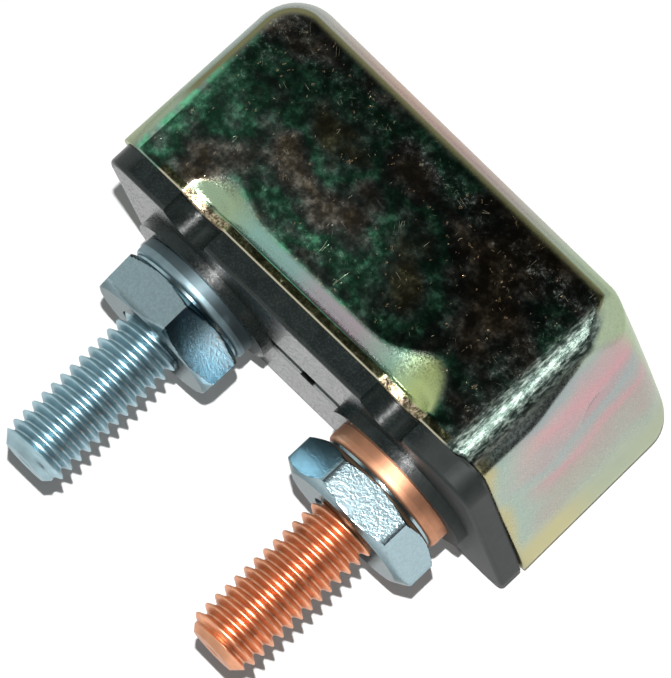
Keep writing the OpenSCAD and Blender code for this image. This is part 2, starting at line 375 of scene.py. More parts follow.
def make_stud(name, cad_node, finish, side, crest_y, lean):
    """One stud: thread, flange, shank and rivet head."""
    sizes = settings().studs
    high = local_box(cad_node)[1]
    flange = sizes.flange / 2 / MM
    face_y = -(BOSS_H + sizes.flange_thickness / MM)
    rounding = sizes.flange_round / MM
    shank = 2.15
    head = 3.3
    head_top = high.y
    head_low = head_top - 1
    bm = bmesh.new()
    # A leaning stud is cut a little shorter, so that its end face stays inside the solids' box.
    tip_y = STUD_TIP_Y + math.tan(abs(lean)) * (sizes.tip / 2 / MM + 0.05)
    add_thread(bm, sizes, crest_y, face_y + 0.3, tip_y)
    outline = [(0, face_y)]
    outline += arc((flange - rounding, face_y + rounding), rounding, -90, 0, 5)
    outline += [(flange, -BOSS_H), (shank, -BOSS_H), (shank, head_low), (head, head_low)]
    outline += [(head, head_low + 0.5), (head - 0.5, head_top), (0, head_top)]
    revolve(bm, outline)
    lean_about_flange(bm, lean)
    bmesh.ops.translate(bm, vec=(side * STUD_X, 0, 0), verts=bm.verts)
    return finish_mesh(bm, name, finish, cad_node, sharp=38)


def lean_about_flange(bm, lean):
    """Leans what is outside the boss, about the middle of the flange's seat."""
    outside = [v for v in bm.verts if v.co.y < -BOSS_H + 0.01]
    turn = Matrix.Rotation(lean, 3, "Z")
    bmesh.ops.rotate(bm, verts=outside, cent=(0, -BOSS_H, 0), matrix=turn)


# Nuts


def make_nut(name, cad_node, finish, side, corner_direction, taper, lean):
    """A hexagon nut with chamfered corners and a washer face."""
    sizes = settings().nuts
    sixth = FULL_TURN / 6
    flats = sizes.flats / 2 / MM
    corner = flats / math.cos(sixth / 2)
    chamfer = sizes.chamfer / 2 / MM
    washer = sizes.face / 2 / MM
    rise = (corner - chamfer) * math.tan(math.radians(30))
    flange_y = -(BOSS_H + settings().studs.flange_thickness / MM)
    top = flange_y - sizes.face_height / MM
    low = top - sizes.height / MM
    bore = settings().studs.minor / 2 / MM + 0.05
    sink = settings().studs.major / 2 / MM + 0.1
    steps = 12
    parts = [k / steps for k in range(steps + 1)]
    cone_low = [(chamfer + (corner - chamfer) * part, low + rise * part) for part in parts]
    cone_top = [(r, top + low - y) for r, y in reversed(cone_low)]
    outline = [(bore, low + 0.45), (sink, low)] + cone_low + cone_top
    outline += [(washer, top), (washer, flange_y), (bore, flange_y), (bore, low + 0.45)]
    bm = bmesh.new()
    revolve(bm, outline, steps=144)
    for v in bm.verts:
        turn = (math.atan2(v.co.z, v.co.x) % sixth) - sixth / 2
        drawn = taper / MM * min(1, max(0, (top - v.co.y) / (top - low)))
        limit = (flats - drawn) / math.cos(turn)
        if math.hypot(v.co.x, v.co.z) > limit:
            set_radius(v, limit)
    turn = Matrix.Rotation(corner_direction - FULL_TURN / 4, 3, "Y")
    bmesh.ops.rotate(bm, verts=bm.verts, cent=(0, 0, 0), matrix=turn)
    lean_about_flange(bm, lean)
    bmesh.ops.translate(bm, vec=(side * STUD_X, 0, 0), verts=bm.verts)
    return finish_mesh(bm, name, finish, cad_node, sharp=24)


# Cover


def cover_block(sizes, low, high):
    """The cover's outer skin, open at its lower end, with shoulders and rims."""
    bm = bmesh.new()
    bmesh.ops.create_cube(bm, size=1)
    bmesh.ops.scale(bm, vec=high - low, verts=bm.verts)
    bmesh.ops.translate(bm, vec=(high + low) / 2, verts=bm.verts)
    bmesh.ops.delete(bm, geom=[f for f in bm.faces if f.normal.y < -0.5], context="FACES_ONLY")
    for side, radius in ((LINE_SIDE, sizes.line_shoulder / MM), (LOAD_SIDE, sizes.load_shoulder / MM)):
        on_top = [e for e in bm.edges if all(v.co.y > high.y - 0.001 for v in e.verts)]
        shoulder = [e for e in on_top if all(v.co.x * side > 0 for v in e.verts)]
        round_edges(bm, shoulder, radius, 12)
    closed = [e for e in bm.edges if not e.is_boundary]
    rim = [e for e in closed if abs(e.verts[0].co.z - e.verts[1].co.z) < 0.001]
    round_edges(bm, rim, sizes.rim / MM, 10)
    return bm


def round_edges(bm, edges, radius, segments):
    """Rounds edges with an arc."""
    bmesh.ops.bevel(
        bm,
        geom=edges,
        offset=radius,
        offset_type="OFFSET",
        segments=segments,
        profile=0.5,
        affect="EDGES",
        material=-1,
    )


def cut(bm, faces, place, normal):
    """Cuts some faces by a plane."""
    parts = {part for f in faces for part in (f, *f.edges, *f.verts)}
    bmesh.ops.bisect_plane(bm, geom=list(parts), dist=0.0001, plane_co=place, plane_no=normal)


def cut_rows(bm, axis, places, wanted):
    """Cuts the faces that are wanted by planes across one axis."""
    for place in places:
        at = Vector((0, 0, 0))
        normal = Vector((0, 0, 0))
        at[axis] = place
        normal[axis] = 1
        cut(bm, [f for f in bm.faces if wanted(f.calc_center_bounds())], at, normal)


def spread(first, last, step):
    """Evenly spaced values inside an interval, about a step apart."""
    count = max(1, round((last - first) / step))
    return [first + (last - first) * k / count for k in range(1, count)]


def smooth(value, low, high):
    """Rises smoothly from 0 at the low value to 1 at the high one."""
    t = min(1, max(0, (value - low) / (high - low)))
    return t * t * (3 - 2 * t)


def trough_press(x, up, sizes):
    """Depth of the trough at a distance x from the middle and a height above the lip."""
    if x < 0:
        side_end, swell = sizes.line_end, sizes.line_swell
    else:
        side_end, swell = sizes.load_end, sizes.load_swell
    reach = abs(x) - STUD_X
    tail = side_end / MM - STUD_X
    end = 1 - smooth(reach / tail, -0.4, 1)
    height = (sizes.trough_height + swell * math.exp(-(reach / 2.2) ** 2)) / MM
    if up <= 0 or up >= height:
        return 0
    level = sizes.trough_height / MM
    deep = sizes.trough_depth / MM * (1 + 0.45 * (height / level - 1)) * end
    floor = sizes.trough_floor / MM * math.exp(-(max(0, abs(x) - 4.5) / 2.5) ** 2)
    rise = max(0, up - floor) / max(0.01, height - floor)
    return deep * smooth(up, 0, 0.2) * max(0, 1 - rise) ** 1.6


def crimp_press(x, up, sizes):
    """Depth of the nearer crimp, which bows the lower edge in."""
    across = (abs(x) - STUD_X) / (sizes.crimp_radius / MM)
    if abs(across) >= 1:
        return 0
    rise = sizes.crimp_rise / MM * (1 - 0.5 * across * across)
    return sizes.crimp_depth / MM * (1 - across * across) ** 1.2 * (1 - smooth(up, 0.1, rise))


def press_cover(bm, sizes, low, half):
    """Presses the crimps and troughs into both wide sides."""
    lip_y = low + sizes.lip / MM
    band = low + PRESSED_BAND
    for v in bm.verts:
        if abs(v.co.z) > half - 0.02 and abs(v.co.x) < 12.6 and v.co.y < band:
            up = v.co.y - lip_y
            cubes = trough_press(v.co.x, up, sizes) ** 3 + crimp_press(v.co.x, up, sizes) ** 3
            v.co.z -= math.copysign(cubes ** (1 / 3), v.co.z)


def clear_base(bm):
    """Keeps the slanted load end outside the rim of the base that stands inside it."""
    turn_x = 14.35
    turn_z = 7.2
    rim = 1.16
    for v in bm.verts:
        depth = abs(v.co.z)
        if v.co.x > 12 and depth < 8.3 and v.co.y < 12:
            needed = turn_x + math.sqrt(max(0, rim ** 2 - max(0, depth - turn_z) ** 2))
            v.co.x += max(0, needed - v.co.x) * (1 - smooth(v.co.y, 5.3, 11.5))


def in_corner(centre):
    """Whether a face lies at the load end's upper corner."""
    return centre.x > 11.5 and centre.y > 10.5


def facet_corner(bm, sizes, half):
    """Flattens the load end's upper corner beside the near wide side."""
    start = Vector((12.48, 14.65, 0))
    away = Vector((1.45, 0.753, 0))
    cut(bm, [f for f in bm.faces if in_corner(f.calc_center_bounds())], start, away)
    for v in bm.verts:
        past = away.dot(v.co - start)
        if v.co.z > 0 and past > -0.2:
            limit = half - sizes.facet * past
            depth = abs(v.co.z)
            blend = max(0, 0.1 - abs(depth - limit)) / 0.1
            v.co.z = math.copysign(min(depth, limit) - 0.025 * blend * blend, v.co.z)


def settle_cover(bm, sizes, low, high):
    """Gives the ends and the top the small leans of the drawn cover."""
    half = high.z
    flat = half - sizes.rim / MM
    ends = {
        LINE_SIDE: (sizes.line_reach / MM, math.tan(sizes.line_draft)),
        LOAD_SIDE: (sizes.load_reach / MM, math.tan(sizes.load_draft)),
    }
    for v in bm.verts:
        side = LOAD_SIDE if v.co.x > 0 else LINE_SIDE
        reach, draft = ends[side]
        share = smooth(abs(v.co.x), 9.5, 14.5)
        across = min(1, max(0, (v.co.z + flat) / (2 * flat)))
        slant = sizes.load_slant / MM * across ** 1.5 if side > 0 else 0
        moved = reach - slant - draft * (v.co.y - low.y) - high.x
        top = min(high.y, sizes.top / MM - math.tan(sizes.top_fall) * v.co.x)
        at_mouth = 1 - smooth(v.co.y, low.y, low.y + 1.5)
        gap = sizes.end_gap / MM * smooth(v.co.x, 14.4, 15.6) * at_mouth
        v.co.x += side * moved * share
        v.co.y += (top - high.y) * smooth(v.co.y, 5, high.y - 2) + gap


def dent_end(bm, high):
    """A short dent in the load end, from a knock."""
    start = Vector((0, 9.3, 2.65))
    run = Vector((0, 2.4, 1.09))
    beside = Vector((0, -run.z, run.y)).normalized()
    for v in bm.verts:
        if v.co.x > high.x - 1.2:
            away = Vector((0, v.co.y, v.co.z)) - start
            along = away.dot(run) / run.length_squared
            across = away.dot(beside) - 0.22 * math.sin(math.pi * along)
            if -0.3 < along < 1.3:
                fade = smooth(along, -0.3, 0.3) * (1 - smooth(along, 0.7, 1.3))
                crease = 0.09 * math.exp(-((across / 0.16) ** 2))
                hollow = 0.05 * math.exp(-((across / 0.7) ** 2))
                v.co.x -= fade * (crease + hollow)


def make_cover(finish):
    """The drawn cover, pressed and settled as the photograph shows it."""
    sizes = settings().cover
    low, high = local_box("cover")
    half = high.z
    band = low.y + PRESSED_BAND
    lip_y = low.y + sizes.lip / MM
    flat = half - sizes.rim / MM

    def on_side(centre):
        return abs(centre.z) > half - 0.01 and centre.y < band

    def on_end(centre):
        return centre.x > high.x - 0.01 and centre.y < high.y - 2

    bm = cover_block(sizes, low, high)
    cut_rows(bm, 1, [band, 9], lambda centre: True)
    # Fine faces where the lip, the trough and the crimps are pressed
    rows = spread(low.y, lip_y - 0.1, 0.12)
    rows += spread(lip_y - 0.1, lip_y + 0.3, 0.045)
    rows += spread(lip_y + 0.3, band, 0.15)
    cut_rows(bm, 1, rows + [lip_y - 0.1, lip_y + 0.3], on_side)
    cut_rows(bm, 0, [-12.5, 12.5] + spread(-12.5, 12.5, 0.2), on_side)
    # Fine faces on the slanted load end, its dent and its upper corner
    rows = spread(-flat, -2, 0.5) + spread(-2, 7, 0.16)
    cut_rows(bm, 2, rows, lambda centre: centre.x > 12 and abs(centre.z) < flat)
    cut_rows(bm, 1, spread(8, 13.2, 0.2), on_end)
    cut_rows(bm, 1, spread(low.y, 8, 0.3), lambda centre: centre.x > 12)
    cut_rows(bm, 0, spread(11.5, 16, 0.22), in_corner)
    cut_rows(bm, 1, spread(10.5, 15.9, 0.22), in_corner)
    press_cover(bm, sizes, low.y, half)
    dent_end(bm, high)
    settle_cover(bm, sizes, low, high)
    clear_base(bm)
    facet_corner(bm, sizes, half)
    piece = finish_mesh(bm, "cover_shell", finish, "cover", sharp=60)
    wall = piece.modifiers.new("wall", "SOLIDIFY")
    wall.thickness = sizes.wall
    wall.offset = -1
    return piece


# Materials


# Colours of the chromate film, each with its place in millimetres along the cover
RIM_FILM = (
    (-16, (0.39, 0.43, 0.24)),
    (-11, (0.36, 0.43, 0.33)),
    (-5, (0.37, 0.44, 0.41)),
    (0, (0.47, 0.50, 0.48)),
    (5, (0.51, 0.42, 0.37)),
    (9, (0.54, 0.39, 0.33)),
    (16, (0.50, 0.38, 0.35)),
    (20, (0.46, 0.43, 0.39)),
    (24, (0.42, 0.49, 0.38)),
    (29, (0.36, 0.45, 0.27)),
)
TROUGH_FILM = (
    (-13, (0.32, 0.43, 0.30)),
    (-7.6, (0.36, 0.46, 0.30)),
    (-5.5, (0.28, 0.46, 0.40)),
    (-2, (0.28, 0.43, 0.40)),
    (0, (0.40, 0.37, 0.39)),
    (3.5, (0.42, 0.35, 0.38)),
    (6.5, (0.30, 0.46, 0.36)),
    (8.6, (0.48, 0.56, 0.24)),
    (13, (0.42, 0.48, 0.26)),
)
END_FILM = (
    (0, (0.41, 0.44, 0.31)),
    (2.5, (0.40, 0.44, 0.32)),
    (5, (0.34, 0.38, 0.33)),
    (7.2, (0.39, 0.33, 0.31)),
    (8.8, (0.50, 0.30, 0.32)),
    (10, (0.39, 0.34, 0.34)),
    (11.4, (0.32, 0.37, 0.37)),
    (12.6, (0.40, 0.32, 0.33)),
    (14.2, (0.54, 0.30, 0.33)),
    (15.4, (0.47, 0.33, 0.34)),
    (16.8, (0.33, 0.37, 0.37)),
    (18.1, (0.34, 0.39, 0.36)),
)
# Colours of the worn wide sides, by the level of their noise
MOTTLE = (
    (0.36, (0.34, 0.27, 0.18)),
    (0.44, (0.22, 0.21, 0.18)),
    (0.50, (0.14, 0.21, 0.17)),
    (0.55, (0.10, 0.33, 0.19)),
    (0.62, (0.17, 0.26, 0.21)),
    (0.7, (0.31, 0.30, 0.17)),
)


def material(name):
    """An empty material with nodes."""
    made = bpy.data.materials.new(name)
    made.use_nodes = True
    made.node_tree.nodes.clear()
    return made


def feed(tree, socket, value):
    """Links a socket to another, or sets its value."""
    if isinstance(value, bpy.types.NodeSocket):
        tree.links.new(value, socket)
    else:
        socket.default_value = value


def input_of(made, key):
    """A node's input by its name, or by its place as i0, i1 and so on."""
    if key[0] == "i" and key[1:].isdigit():
        return made.inputs[int(key[1:])]
    return made.inputs[key.replace("_", " ")]


def node(tree, kind, options=None, **inputs):
    """Adds a node, sets its options and feeds its inputs."""
    made = tree.nodes.new(kind)
    for key, value in (options or {}).items():
        setattr(made, key, value)
    for key, value in inputs.items():
        feed(tree, input_of(made, key), value)
    return made


def millimetres(tree, scale=(1, 1, 1), place=(0, 0, 0)):
    """Object coordinates in millimetres, stretched by a scale."""
    where = node(tree, "ShaderNodeTexCoord").outputs["Object"]
    mapped = node(
        tree,
        "ShaderNodeMapping",
        Vector=where,
        Scale=tuple(s / MM for s in scale),
        Location=place,
    )
    return mapped.outputs["Vector"]


def axes_of(tree, where):
    """The three coordinates of a place."""
    parts = node(tree, "ShaderNodeSeparateXYZ", Vector=where).outputs
    return parts["X"], parts["Y"], parts["Z"]


def noise(tree, vector, scale, detail=3, roughness=0.5):
    """Noise from 0 to 1 over a vector."""
    made = node(
        tree,
        "ShaderNodeTexNoise",
        Vector=vector,
        Scale=scale,
        Detail=detail,
        Roughness=roughness,
    )
    return made.outputs["Fac"]


def ramp(tree, value, stops):
    """A colour ramp of (place, colour) stops."""
    made = node(tree, "ShaderNodeValToRGB", Fac=value)
    elements = made.color_ramp.elements
    while len(elements) < len(stops):
        elements.new(0.5)
    for element, (place, tint) in zip(elements, stops):
        element.position = place
        element.color = (*tint, 1) if isinstance(tint, tuple) else (tint, tint, tint, 1)
    return made.outputs["Color"]


def bump(tree, height, distance, normal=None):
    """Bump of a height, with its distance in millimetres, over an earlier bump."""
    made = node(tree, "ShaderNodeBump", Height=height, Distance=distance * MM, Strength=1)
    if normal is not None:
        tree.links.new(normal, made.inputs["Normal"])
    return made.outputs["Normal"]


def surface(tree, **inputs):
    """The shader and the output of a material."""
    shader = node(tree, "ShaderNodeBsdfPrincipled", **inputs)
    node(tree, "ShaderNodeOutputMaterial", Surface=shader.outputs["BSDF"])


def metal(tree, tint, rough, normal, edge=(1, 1, 1)):
    """The shader of a bare metal, with the tint of its grazing reflections."""
    surface(
        tree,
        Base_Color=tint,
        Metallic=1.0,
        Roughness=rough,
        Normal=normal,
        Specular_Tint=(*edge, 1),
    )


def tinted(tree, base, vector, scale, amount):
    """A colour that drifts lighter and darker over the surface."""
    drift = noise(tree, vector, scale, detail=4)
    dark = tuple(c * (1 - amount) for c in base)
    light = tuple(min(1, c * (1 + amount)) for c in base)
    return ramp(tree, drift, [(0.3, dark), (0.7, light)])


def mixed(tree, share, first, second):
    """One colour over another by a share from 0 to 1."""
    made = node(tree, "ShaderNodeMix", {"data_type": "RGBA"}, Factor=share)
    for socket, value in ((made.inputs[6], first), (made.inputs[7], second)):
        feed(tree, socket, (*value, 1) if isinstance(value, tuple) else value)
    return made.outputs[2]


def math_of(tree, operation, *values):
    """The result of a math node."""
    made = node(tree, "ShaderNodeMath", {"operation": operation})
    for socket, value in zip(made.inputs, values):
        feed(tree, socket, value)
    return made.outputs[0]


def product(tree, *values):
    """The product of two or more values."""
    total = values[0]
    for value in values[1:]:
        total = math_of(tree, "MULTIPLY", total, value)
    return total


def apart(tree, value, middle):
    """How far a value lies from a middle, either way."""
    return math_of(tree, "ABSOLUTE", math_of(tree, "SUBTRACT", value, middle))


def between(tree, value, low, high, first=0.0, last=1.0):
    """A value that goes smoothly from first to last between two levels."""
    made = node(
        tree,
        "ShaderNodeMapRange",
        {"interpolation_type": "SMOOTHSTEP"},
        Value=value,
        From_Min=low,
        From_Max=high,
        To_Min=first,
        To_Max=last,
    )
    return made.outputs["Result"]


def shaded(tree, tint, share, least):
    """A colour darkened towards a least share of itself where the given share is nought."""
    level = math_of(tree, "MULTIPLY_ADD", share, 1 - least, least)
    return node(tree, "ShaderNodeVectorMath", {"operation": "SCALE"}, i0=tint, Scale=level).outputs[0]


def thread_plating(name, base, roughness, side, lean, flange_shade, seat):
    """Bright plating of a stud, with painted shade in the thread's roots and on the flange under the nut,
    and darker at its seat.
    """
    made = material(name)
    tree = made.node_tree
    where = millimetres(tree)
    x, y, z = axes_of(tree, where)
    across = math_of(tree, "MULTIPLY_ADD", y, math.tan(lean), -side * STUD_X)
    across = math_of(tree, "ADD", x, across)
    depth = math_of(tree, "SUBTRACT", z, HALF_WIDTH)
    square = math_of(tree, "ADD", product(tree, across, across), product(tree, depth, depth))
    radius = math_of(tree, "SQRT", square)
    on_thread = between(tree, y, -1.95, -2.05)
    tint = tinted(tree, base, where, 0.9, 0.15)
    # Painted shade: darker in the thread's roots.
    tint = shaded(tree, tint, between(tree, radius, 1.85, 2.15), 0.82)
    # Painted shade: the flange under the nut is darkened.
    tint = shaded(tree, tint, on_thread, flange_shade)
    tint = shaded(tree, tint, between(tree, y, -1.42, -1.5), seat)
    coarse = bump(tree, noise(tree, where, 1.6), 0.005)
    fine = bump(tree, noise(tree, where, 8, detail=4), 0.002, normal=coarse)
    spots = noise(tree, where, 2.5)
    rough = ramp(tree, spots, [(0.3, roughness * 0.85), (0.7, roughness * 1.2)])
    rough = mixed(tree, on_thread, (0.5, 0.5, 0.5), rough)
    metal(tree, tint, rough, fine, edge=(0.7, 0.72, 0.72))
    return made


def plating(name, base, roughness, peel, grain):
    """Bright plating with a slight orange peel and fine grain."""
    made = material(name)
    tree = made.node_tree
    where = millimetres(tree)
    coarse = bump(tree, noise(tree, where, 1.6), peel)
    fine = bump(tree, noise(tree, where, 9), grain, normal=coarse)
    tint = tinted(tree, base, where, 0.7, 0.12)
    spots = noise(tree, where, 2.5)
    rough = ramp(tree, spots, [(0.3, roughness * 0.8), (0.7, roughness * 1.25)])
    metal(tree, tint, rough, fine)
    return made


def drifting(tree, value, stops):
    """A colour that changes along a coordinate in millimetres, given as (place, colour) stops."""
    low = stops[0][0]
    high = stops[-1][0]
    along = node(tree, "ShaderNodeMapRange", Value=value, From_Min=low, From_Max=high)
    shares = [((place - low) / (high - low), tint) for place, tint in stops]
    return ramp(tree, along.outputs["Result"], shares)


def scratches(tree, turn, wide, cut_off, keep):
    """Sparse fine scratches in one direction, as a value from 0 to 1."""
    where = node(tree, "ShaderNodeTexCoord").outputs["Object"]
    turned = node(tree, "ShaderNodeMapping", Vector=where, Rotation=(0, 0, math.radians(turn)))
    mapped = node(
        tree,
        "ShaderNodeMapping",
        Vector=turned.outputs["Vector"],
        Location=(turn, 0, 0),
        Scale=(0.3 / MM, wide / MM, 0.1 / MM),
    )
    off = apart(tree, noise(tree, mapped.outputs["Vector"], 1, detail=1), 0.5)
    patchy = noise(tree, millimetres(tree, (0.9, 0.9, 0.9), (turn, 0, 0)), 1)
    return product(tree, between(tree, off, cut_off, 0), between(tree, patchy, keep, keep + 0.1))


def film_colour(tree, x, y, z):
    """Interference colours of the chromate film, drifting along the cover."""
    drift = noise(tree, millimetres(tree, (0.13, 0.12, 0.2)), 1, roughness=0.45)
    wander = product(tree, math_of(tree, "SUBTRACT", drift, 0.5), 9)
    along = math_of(tree, "ADD", math_of(tree, "ADD", x, y), wander)
    rim = drifting(tree, along, RIM_FILM)
    trough = drifting(tree, x, TROUGH_FILM)
    end = drifting(tree, math_of(tree, "ADD", z, wander), END_FILM)
    height = math_of(tree, "MULTIPLY_ADD", wander, 0.5, y)
    end = mixed(tree, between(tree, height, 2.4, 6.5), (0.33, 0.42, 0.37), end)
    yellow = product(tree, between(tree, z, 5.5, 3), between(tree, y, 9, 5))
    end = mixed(tree, yellow, end, (0.50, 0.46, 0.26))
    height = math_of(tree, "MULTIPLY_ADD", wander, 0.3, y)
    end = mixed(tree, between(tree, height, 1.8, 3.0), (0.46, 0.42, 0.24), end)
    sides = mixed(tree, between(tree, y, 5, 7.5), trough, rim)
    past_trough = between(tree, math_of(tree, "ABSOLUTE", x), 12.4, 13.4)
    sides = mixed(tree, past_trough, sides, rim)
    return mixed(tree, between(tree, x, 14.2, 14.9), sides, end)


def lip_colour(tree, x, y, grain):
    """The olive lip between the crimps, a painted highlight along its lower edge, and the bruised metal
    of the crimps.
    """
    olive = ramp(
        tree, grain, [(0.4, (0.09, 0.10, 0.045)), (0.55, (0.22, 0.23, 0.11)), (0.66, (0.55, 0.50, 0.30))]
    )
    # Painted highlight: a pale line along the sheet's lower edge.
    lip = mixed(tree, between(tree, y, 1.66, 1.72), (0.60, 0.54, 0.40), olive)
    bruised = ramp(
        tree, grain, [(0.42, (0.10, 0.09, 0.06)), (0.52, (0.42, 0.34, 0.20)), (0.62, (0.80, 0.62, 0.50))]
    )
    off_crimp = apart(tree, math_of(tree, "ABSOLUTE", x), STUD_X)
    return mixed(tree, between(tree, off_crimp, 1.9, 1.7), lip, bruised)


def side_colour(tree, x, y, speck):
    """Green and brown mottle of the worn wide sides, darker between about 7 and 10 mm towards the load
    end, with a painted glow from the trough that lightens them low down, most on the line side of the
    middle.
    """
    patches = noise(tree, millimetres(tree, (0.16, 0.24, 0.2), (3, 0, 0)), 1, detail=4)
    tint = ramp(tree, patches, MOTTLE)
    ends = math_of(tree, "MAXIMUM", between(tree, x, 7, -3), between(tree, x, 10, 14))
    tint = shaded(tree, tint, ends, 0.5)
    # Painted glow from the trough: lighter low down than high up, and lighter still low on the line side
    # of the middle.
    tint = shaded(tree, tint, between(tree, y, 11, 6), 0.65)
    tint = shaded(tree, tint, between(tree, speck, 0.36, 0.64), 0.55)
    trough_glow = product(tree, between(tree, y, 10.5, 6.5), between(tree, x, 6, 0))
    return shaded(tree, tint, math_of(tree, "MULTIPLY_ADD", trough_glow, 1.1, 1), 0)


def side_scratches(tree):
    """Scratches of the wide sides in four directions."""
    marks = scratches(tree, 12, 2.2, 0.010, 0.62)
    for turn, wide, cut_off, keep in (
        (48, 2.6, 0.009, 0.64),
        (-35, 2.2, 0.009, 0.64),
        (92, 1.8, 0.010, 0.63),
    ):
        marks = math_of(tree, "MAXIMUM", marks, scratches(tree, turn, wide, cut_off, keep))
    return marks


def side_wear(tree, x, y, speck, grain):
    """Where handling has rubbed the wide sides to bare metal, as a value from 0 to 1."""
    worn_patch = product(tree, between(tree, x, -11.5, -14), between(tree, y, 8, 10))
    worn_line = between(tree, apart(tree, y, 12.9), 1.2, 0.2)
    worn_end = between(tree, x, 9.5, 12.5, 0, 0.7)
    worn = math_of(tree, "MAXIMUM", worn_patch, math_of(tree, "MAXIMUM", worn_line, worn_end))
    rubbed = between(tree, speck, 0.44, 0.58)
    return product(tree, worn, rubbed, between(tree, grain, 0.5, 0.66, 0, 0.8))


def chromate(name):
    """Yellow chromate over zinc: drifting film colours, and wide sides that handling has worn."""
    made = material(name)
    tree = made.node_tree
    where = millimetres(tree)
    x, y, z = axes_of(tree, where)
    cloud = noise(tree, where, 0.9, roughness=0.6)
    worms = noise(tree, where, 2.4, roughness=0.6)
    grain = noise(tree, where, 5.5, detail=5, roughness=0.75)
    brushed = noise(tree, millimetres(tree, (2.6, 0.7, 1.2), (0, 9, 0)), 2.2, detail=4, roughness=0.7)
    specks = noise(tree, millimetres(tree, (3.4, 2.4, 3.4), (5, 0, 0)), 1, detail=2, roughness=0.6)
    speck = math_of(tree, "MULTIPLY_ADD", cloud, 0.6, product(tree, worms, 0.4))

    # Places on the cover, each as a value from 0 to 1
    out = apart(tree, z, HALF_WIDTH)
    on_side = between(tree, out, 8.93, 9.03)
    middle = between(tree, math_of(tree, "ABSOLUTE", x), 12.9, 12.4)
    at_lip = product(tree, between(tree, y, 2.16, 2.06), middle)
    near_end = product(tree, between(tree, x, 12.4, 13.2), between(tree, out, 8.1, 8.6))
    near_end = product(tree, near_end, between(tree, z, 9, 10), between(tree, y, 14.2, 12.8))
    in_trough = product(tree, between(tree, y, 6.2, 5.2), middle, between(tree, out, 9.04, 9.01))
    border = product(tree, between(tree, out, 8.74, 8.84), between(tree, y, 5, 7))
    marks = product(tree, side_scratches(tree), on_side)
    flecks = product(tree, between(tree, specks, 0.68, 0.74), on_side)
    worn = product(tree, side_wear(tree, x, y, speck, grain), on_side)

    # Colour
    # The wide sides carry a painted glow from the trough.
    marked = mixed(tree, flecks, side_colour(tree, x, y, speck), (0.66, 0.46, 0.26))
    marked = mixed(tree, worn, marked, (0.42, 0.48, 0.44))
    marked = mixed(tree, marks, marked, (0.50, 0.43, 0.30))
    # A tint darkened to dim the lamp's highlight on the load end's near rim, with brushed stripes that
    # break that highlight into sparkles.
    highlight_dimming_tint = ramp(
        tree, brushed, [(0.40, (0.05, 0.07, 0.06)), (0.5, (0.11, 0.15, 0.13)), (0.62, (0.32, 0.39, 0.34))]
    )
    film = mixed(tree, border, film_colour(tree, x, y, z), (0.22, 0.21, 0.11))
    skin = mixed(tree, near_end, mixed(tree, on_side, film, marked), highlight_dimming_tint)
    # The lip carries a painted highlight along its lower edge.
    tint = mixed(tree, at_lip, skin, lip_colour(tree, x, y, grain))

    # Roughness
    rough_side = ramp(tree, speck, [(0.40, 0.15), (0.5, 0.19), (0.57, 0.24), (0.64, 0.30)])
    rough_rim = ramp(tree, grain, [(0.4, 0.22), (0.6, 0.32)])
    rough_rim = mixed(tree, between(tree, z, 5, 3), rough_rim, (0.4, 0.4, 0.4))
    rough = mixed(tree, on_side, rough_rim, rough_side)
    rough = mixed(tree, near_end, rough, ramp(tree, brushed, [(0.4, 0.3), (0.6, 0.48)]))
    rough = mixed(tree, in_trough, rough, ramp(tree, grain, [(0.4, 0.2), (0.6, 0.34)]))
    rough = math_of(tree, "MULTIPLY_ADD", math_of(tree, "MAXIMUM", marks, worn), 0.12, rough)

    # Relief
    depth = math_of(tree, "MULTIPLY_ADD", in_trough, 2.6, 0.7)
    depth = math_of(tree, "MULTIPLY_ADD", near_end, 2.2, depth)
    peel = bump(tree, noise(tree, where, 0.9), 0.012)
    pitted = bump(tree, product(tree, grain, depth), 0.005, normal=peel)
    scored = bump(tree, math_of(tree, "ADD", marks, flecks), -0.004, normal=pitted)
    metal(tree, tint, rough, scored, edge=(0.8, 0.82, 0.78))
    return made


def past_corner(tree, x, z, side, corner):
    """Distance past the plane through a nut's axis and one of its corners, in millimetres."""
    off_x = math_of(tree, "SUBTRACT", x, side * STUD_X + 0.08)
    off_z = math_of(tree, "SUBTRACT", z, HALF_WIDTH)
    along_x = product(tree, off_x, math.sin(corner))
    along_z = product(tree, off_z, -math.cos(corner))
    return math_of(tree, "ADD", along_x, along_z)


def nut_plating(name, base, roughness, grain_size, grain_depth, side, corner, painted_flat):
    """Zinc plating of a nut: frosted flats, painted shade on the tip-side end, and perhaps one flat with
    a painted dark reflection and a painted blue-white glint.
    """
    made = material(name)
    tree = made.node_tree
    where = millimetres(tree)
    x, y, z = axes_of(tree, where)
    first = between(tree, past_corner(tree, x, z, side, corner + FULL_TURN / 6), 0, 0.04)
    last = between(tree, past_corner(tree, x, z, side, corner), 0.04, 0)
    on_flat = product(tree, first, last)
    frosted = math_of(tree, "MULTIPLY_ADD", on_flat, 0.88, 0.12) if painted_flat else 1
    coarse = bump(tree, noise(tree, where, 1.2), 0.002)
    grain = noise(tree, where, grain_size, detail=4, roughness=0.65)
    frost = bump(tree, product(tree, grain, frosted), grain_depth, normal=coarse)
    dark = tuple(c * 0.92 for c in base)
    light = tuple(min(1, c * 1.06) for c in base)
    tint = ramp(tree, grain, [(0.36, dark), (0.6, light)])
    # Painted shade: the tip-side end and the lowest part of the flats are darkened.
    tint = shaded(tree, tint, between(tree, y, -5.02, -4.6), 0.62)
    # Painted reflection on one flat: dark where it mirrors the dark surround, with a painted blue-white
    # glint towards the load stud.
    if painted_flat:
        reflection_edge = math_of(tree, "MULTIPLY_ADD", grain, 2.5, x)
        painted_flat_reflection = mixed(tree, between(tree, reflection_edge, -4.7, -3.1), (0.05, 0.09, 0.11), (0.46, 0.74, 0.90))
        tint = mixed(tree, product(tree, on_flat, between(tree, y, -4.9, -4.75)), tint, painted_flat_reflection)
    metal(tree, tint, roughness, frost, edge=(0.42, 0.45, 0.45))
    return made


